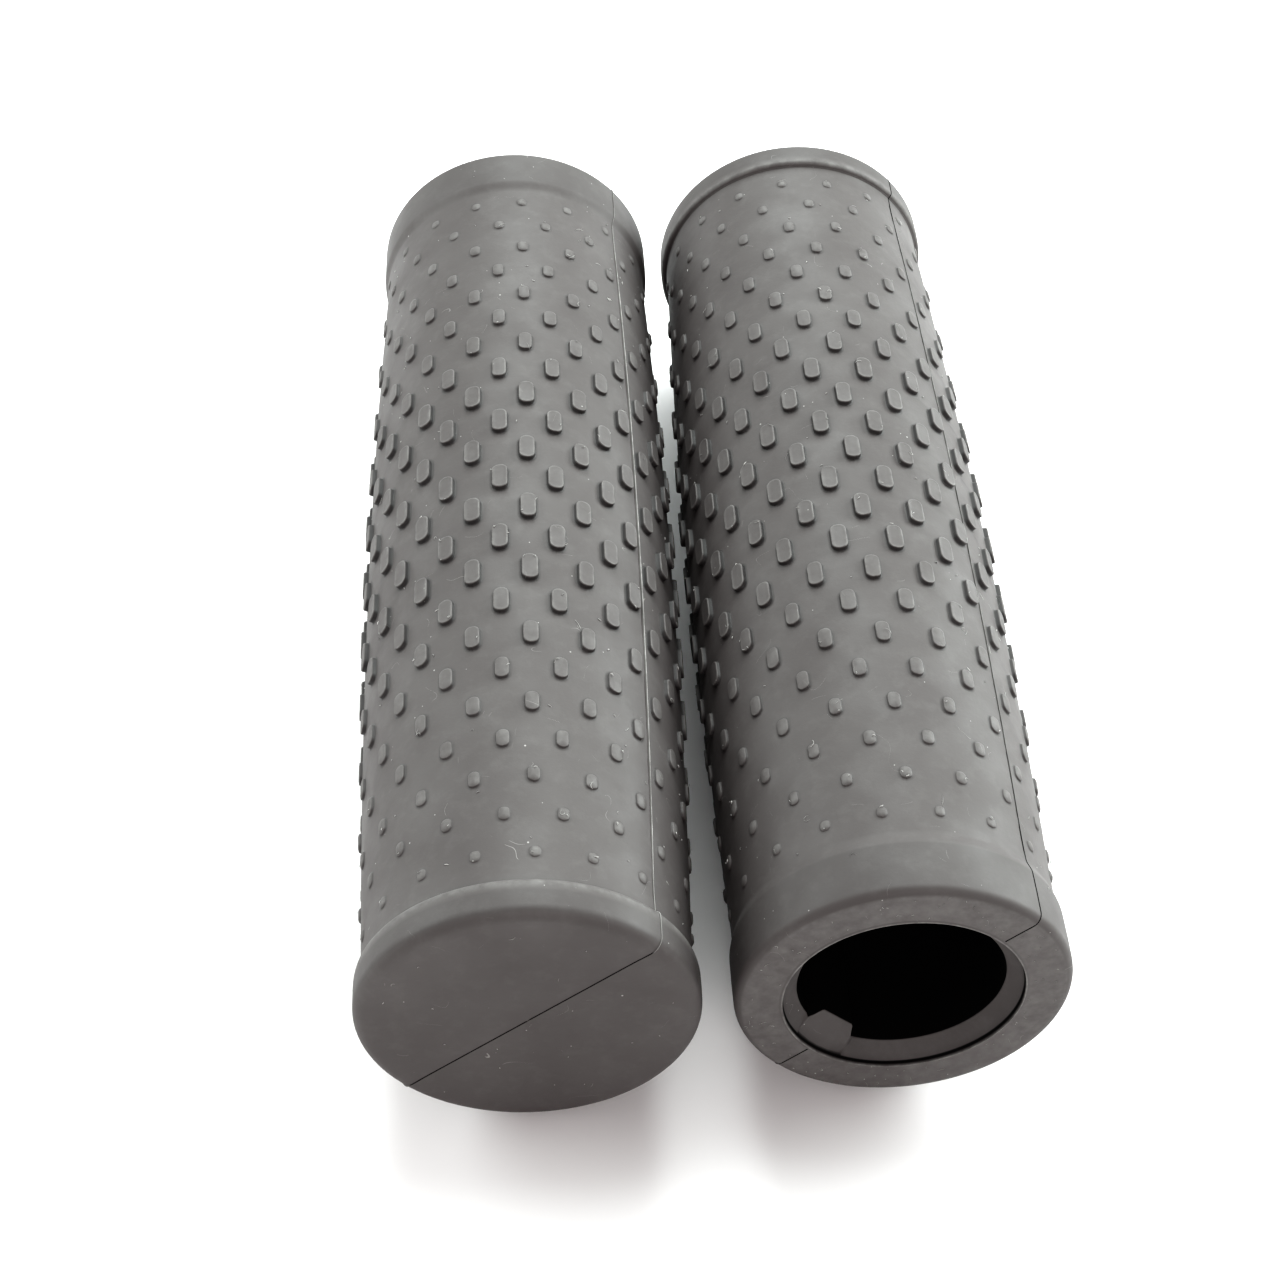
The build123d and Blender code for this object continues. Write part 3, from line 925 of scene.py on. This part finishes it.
def rubber(context):
    """Satin black silicone with a grey bloom, fine grain, dust specks and light scratches.

    Values above 0 of the painted attribute pull it towards a pale colour: painted highlight, and on the
    mouth's face dust with painted light. Values below 0 pull it towards a near-black colour: painted shade.
    Inside the
    bore it is painted near black: painted shade.
    """
    look = context.scene.grip_rubber_look
    nodes = Nodes("grip_rubber")
    bloom = nodes.ramp(nodes.noise(90.0, 5.0), 0.35, 0.75, 0.0, 0.16)
    smudge = nodes.ramp(nodes.noise(420.0, 6.0, 0.65), 0.5, 0.78, 0.0, 0.2)
    base = nodes.mix(nodes.maths("ADD", bloom, smudge), look.colour, look.dust_colour)
    # Values above 0 mix in the pale colour: painted highlight, and on the mouth's face dust with painted
    # light
    worn = nodes.painted("worn")
    patchy = nodes.ramp(nodes.noise(650.0, 3.0, 0.6), 0.35, 0.7, 0.1, 0.7)
    base = nodes.mix(nodes.maths("MULTIPLY", nodes.ramp(worn, 0.0, 1.0), patchy), base, look.worn_colour)
    # Values below 0 mix in the near-black colour: painted shade
    base = nodes.mix(nodes.ramp(worn, 0.0, -1.0, 0.0, 0.8), base, look.crevice_colour)
    specks = nodes.maths("MAXIMUM", speckle(nodes, 420.0, 0.055, 0.12), speckle(nodes, 1300.0, 0.11, 0.04))
    scratches = nodes.maths("MULTIPLY", hairlines(nodes, 230.0, 0.0014, 300.0, 0.63), 0.6)
    marks = nodes.maths("MAXIMUM", specks, scratches)
    base = nodes.mix(nodes.maths("MULTIPLY", marks, 0.6), base, look.mark_colour)
    # Painted shade inside the bore: near black
    inside = nodes.painted("inside")
    nodes.finish("Base Color", nodes.mix(inside, base, look.inside_colour))
    rough = nodes.ramp(nodes.noise(160.0), 0.3, 0.7, look.roughness - 0.05, look.roughness + 0.08)
    nodes.finish("Roughness", rough)
    grain = nodes.noise(2600.0, 3.0, 0.6)
    height = nodes.maths("ADD", grain, nodes.maths("MULTIPLY", nodes.noise(500.0, 3.0), 0.8))
    height = nodes.maths("ADD", height, nodes.maths("MULTIPLY", marks, 0.6))
    bump = nodes.add("ShaderNodeBump", {"Strength": 0.18, "Distance": 0.00006, "Height": height})
    nodes.finish("Normal", bump.outputs["Normal"])
    # Inside the bore the reflection is also turned down, so that the painted shade stays dark
    nodes.finish("Specular IOR Level", nodes.ramp(inside, 0.0, 1.0, 0.5, 0.08))
    return nodes.material


def feather(context):
    """The flash: almost black and dull where it is low, as painted shade; where it stands up, the dust
    colour with a pale tip as painted highlight.
    """
    nodes = Nodes("grip_flash")
    # Painted shade where the flash is low, and a painted highlight on the tip where it stands up
    raised = nodes.ramp(nodes.painted("raised"), 0.15, 0.5)
    patchy = nodes.ramp(nodes.noise(500.0, 3.0), 0.35, 0.6, 0.2, 0.8)
    tip = nodes.maths("MULTIPLY", nodes.painted("tip"), nodes.maths("MULTIPLY", raised, patchy))
    base = nodes.mix(raised, (0.002, 0.002, 0.002), context.scene.grip_rubber_look.dust_colour)
    nodes.finish("Base Color", nodes.mix(tip, base, (0.6, 0.59, 0.57)))
    nodes.finish("Roughness", nodes.ramp(raised, 0.0, 1.0, 0.9, 0.55))
    nodes.finish("Specular IOR Level", nodes.ramp(raised, 0.0, 1.0, 0.0, 0.5))
    return nodes.material


def lint():
    """Pale shreds of dusty rubber and lint."""
    nodes = Nodes("grip_lint")
    tone = nodes.ramp(nodes.noise(300.0, 2.0), 0.35, 0.65)
    nodes.finish("Base Color", nodes.mix(tone, (0.22, 0.215, 0.21), (0.62, 0.61, 0.59)))
    nodes.finish("Roughness", 0.7)
    return nodes.material


# ---------------------------------------------------------------- stage


def area_lamp(name, place, target, size, power, colour):
    """A soft box at a place, turned to a target."""
    lamp = bpy.data.lights.new(name, "AREA")
    lamp.shape = "RECTANGLE"
    lamp.size, lamp.size_y = size
    lamp.energy = power
    lamp.color = colour
    holder = bpy.data.objects.new(name, lamp)
    holder.location = place
    holder.rotation_euler = (Vector(target) - Vector(place)).to_track_quat("-Z", "Y").to_euler()
    bpy.context.scene.collection.objects.link(holder)


class GRIPS_OT_stage(bpy.types.Operator):
    """Set up the pale floor, the soft boxes, the white surround and the camera"""

    bl_idname = "grips.stage"
    bl_label = "Stage"

    def execute(self, context):
        settings = context.scene.grip_stage
        self.floor(settings)
        self.lights()
        self.camera(settings)
        return {"FINISHED"}

    def floor(self, settings):
        """A wide flat floor at z = 0, a hair below the pads."""
        half, drop = 1.5, -0.00005
        corners = [(-half, -half, drop), (half, -half, drop), (half, half, drop), (-half, half, drop)]
        mesh = bpy.data.meshes.new("floor")
        mesh.from_pydata(corners, [], [(0, 1, 2, 3)])
        nodes = Nodes("floor")
        clouds = nodes.ramp(nodes.noise(14.0, 3.0), 0.2, 0.8, 0.0, 0.04)
        nodes.finish("Base Color", nodes.mix(clouds, settings.floor_colour, settings.floor_shade))
        nodes.finish("Roughness", 0.6)
        mesh.materials.append(nodes.material)
        floor = bpy.data.objects.new("floor", mesh)
        bpy.context.scene.collection.objects.link(floor)

    def lights(self):
        """A white surround, large soft boxes behind and at each side, and a smaller, warmer one in front."""
        world = bpy.data.worlds.new("surround")
        world.use_nodes = True
        background = world.node_tree.nodes["Background"]
        background.inputs["Color"].default_value = (1.0, 0.97, 0.96, 1.0)
        background.inputs["Strength"].default_value = 0.3
        bpy.context.scene.world = world
        cool, warm = (0.93, 1.0, 0.985), (1.0, 0.95, 0.945)
        ground, object_middle = (0.0, 0.0, 0.0), (0.0, 0.0, 0.02)
        area_lamp("overhead", (0.0, 0.62, 0.75), ground, (0.5, 1.2), 11.2, cool)
        area_lamp("left_side", (-0.7, 0.3, 0.4), object_middle, (0.7, 0.4), 4.5, cool)
        area_lamp("right_side", (0.7, 0.3, 0.35), object_middle, (0.7, 0.4), 9.3, cool)
        area_lamp("front", (0.0, -0.9, 0.6), ground, (0.8, 0.4), 3.8, warm)

    def camera(self, settings):
        """The camera at its place: forward comes from heading and dip, and the roll turns up about it."""
        heading, dip, roll = settings.heading, settings.dip, settings.roll
        level_share = math.cos(dip)
        forward = Vector((math.sin(heading) * level_share, math.cos(heading) * level_share, -math.sin(dip)))
        level = Vector((math.cos(heading), -math.sin(heading), 0.0))
        upright = level.cross(forward)
        right = math.cos(roll) * level + math.sin(roll) * upright
        up = math.cos(roll) * upright - math.sin(roll) * level
        data = bpy.data.cameras.new("camera")
        data.sensor_width = settings.sensor
        data.lens = settings.lens
        data.clip_start, data.clip_end = 0.01, 10.0
        camera = bpy.data.objects.new("camera", data)
        turn = Matrix((right, up, -forward)).transposed().to_4x4()
        camera.matrix_world = Matrix.Translation(Vector(settings.camera_place)) @ turn
        bpy.context.scene.collection.objects.link(camera)
        bpy.context.scene.camera = camera
        bpy.context.scene.view_settings.view_transform = "Standard"
        bpy.context.scene.view_settings.look = "High Contrast"


# ---------------------------------------------------------------- panel and registration


STEPS = (GRIPS_OT_mouldings, GRIPS_OT_flash, GRIPS_OT_crumbs, GRIPS_OT_stage)
GROUPS = {
    "grip_moulding": MouldingSettings,
    "grip_pads": PadSettings,
    "grip_flash": FlashSettings,
    "grip_rubber_look": RubberSettings,
    "grip_stage": StageSettings,
}


class GRIPS_PT_panel(bpy.types.Panel):
    """Sidebar panel with the steps in order, and below them the groups of settings."""

    bl_idname = "GRIPS_PT_panel"
    bl_label = "Rubber grips"
    bl_space_type = "VIEW_3D"
    bl_region_type = "UI"
    bl_category = "Grips"

    def draw(self, context):
        for step in STEPS:
            self.layout.operator(step.bl_idname)
        for name, group in GROUPS.items():
            box = self.layout.box()
            box.label(text=name.replace("_", " ").capitalize())
            for key in group.__annotations__:
                box.prop(getattr(context.scene, name), key)


def register():
    for cls in (*GROUPS.values(), *STEPS, GRIPS_PT_panel):
        bpy.utils.register_class(cls)
    for name, group in GROUPS.items():
        setattr(bpy.types.Scene, name, PointerProperty(type=group))


def unregister():
    for name in GROUPS:
        delattr(bpy.types.Scene, name)
    for cls in reversed((*GROUPS.values(), *STEPS, GRIPS_PT_panel)):
        bpy.utils.unregister_class(cls)


def main():
    register()
    bpy.ops.grips.mouldings()
    bpy.ops.grips.flash()
    bpy.ops.grips.crumbs()
    bpy.ops.grips.stage()


if __name__ == "__main__":
    main()
